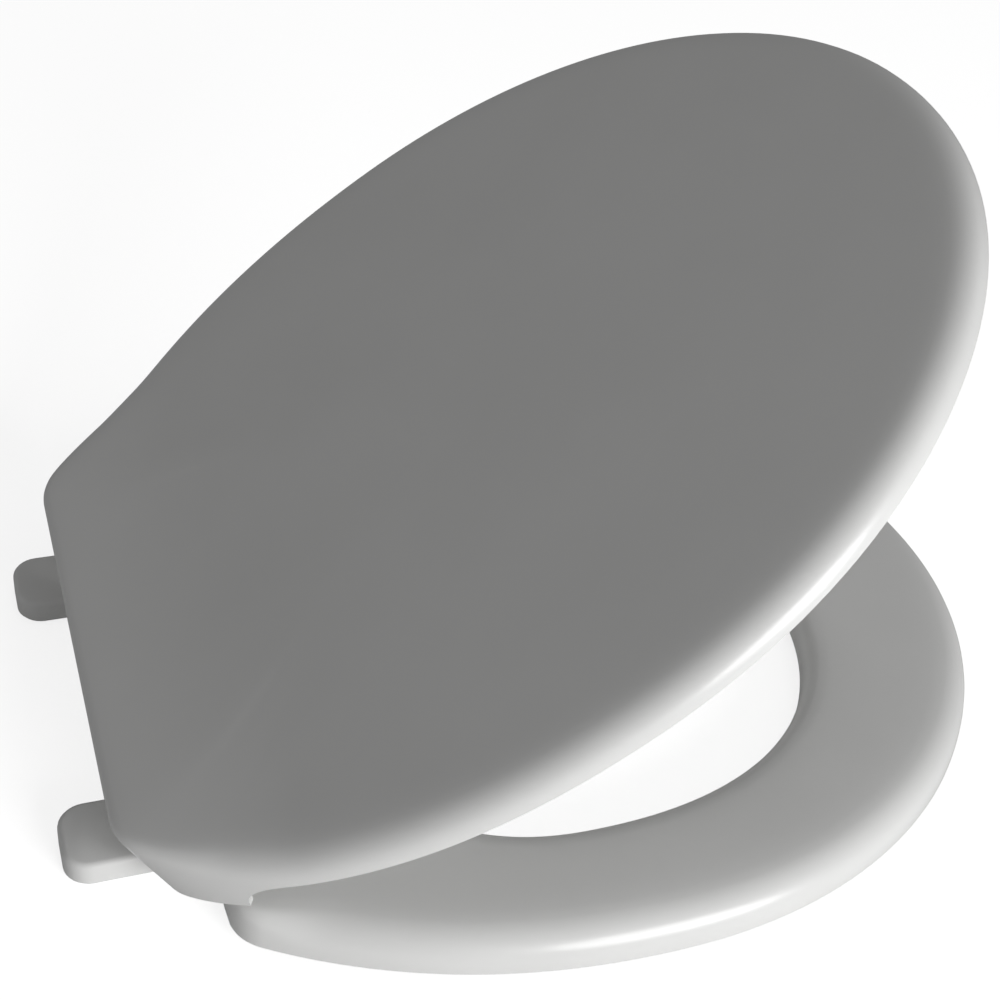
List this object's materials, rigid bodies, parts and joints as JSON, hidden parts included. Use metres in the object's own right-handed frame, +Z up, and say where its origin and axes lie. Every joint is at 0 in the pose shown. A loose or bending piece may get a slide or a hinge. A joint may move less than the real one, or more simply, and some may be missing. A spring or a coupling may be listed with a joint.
{
  "type": "toilet seat",
  "caption": "White moulded toilet seat: an egg-shaped lid with a swept-up back, standing open over an open-centred seat ring, both hinged on tongue-shaped feet.",
  "frame": {"origin": "midway between the two fixing holes, on the plane of the pan that the feet stand on", "axes": "+X to the right as seen from the front, the front of the seat towards -Y, +Z up"},
  "size_m": [0.38, 0.423, 0.2643],
  "materials": {
    "white_plastic": "white moulded thermoplastic with a satin gloss",
    "buffer_soft": "soft off-white elastomer, matt",
    "bush_nylon": "natural nylon",
    "pin_steel": "turned stainless steel",
    "insert_brass": "turned brass"
  },
  "bodies": {
    "feet": {"hinge_foot_left": "white_plastic", "hinge_foot_right": "white_plastic", "foot_pad_left": "buffer_soft", "foot_pad_right": "buffer_soft", "fixing_insert_left": "insert_brass", "fixing_insert_right": "insert_brass", "hinge_pin_left": "pin_steel", "hinge_pin_right": "pin_steel", "pin_cap_left": "white_plastic", "pin_cap_right": "white_plastic"},
    "ring": {"seat_ring": "white_plastic", "ring_bush_left": "bush_nylon", "ring_bush_right": "bush_nylon", "ring_buffer_front_left": "buffer_soft", "ring_buffer_front_right": "buffer_soft", "ring_buffer_rear_left": "buffer_soft", "ring_buffer_rear_right": "buffer_soft"},
    "cover": {"lid": "white_plastic", "lid_bush_left": "bush_nylon", "lid_bush_right": "bush_nylon", "lid_buffer_left": "buffer_soft", "lid_buffer_right": "buffer_soft"}
  },
  "joints": [
    {"name": "ring_lift", "type": "hinge", "parent": "feet", "child": "ring", "pos_m": [0, -0.018, 0.034], "axis": [-1, 0, 0], "range_deg": [0, 95]},
    {"name": "lid_open", "type": "hinge", "parent": "ring", "child": "cover", "pos_m": [0, -0.018, 0.034], "axis": [-1, 0, 0], "range_deg": [-36, 62]}
  ]
}
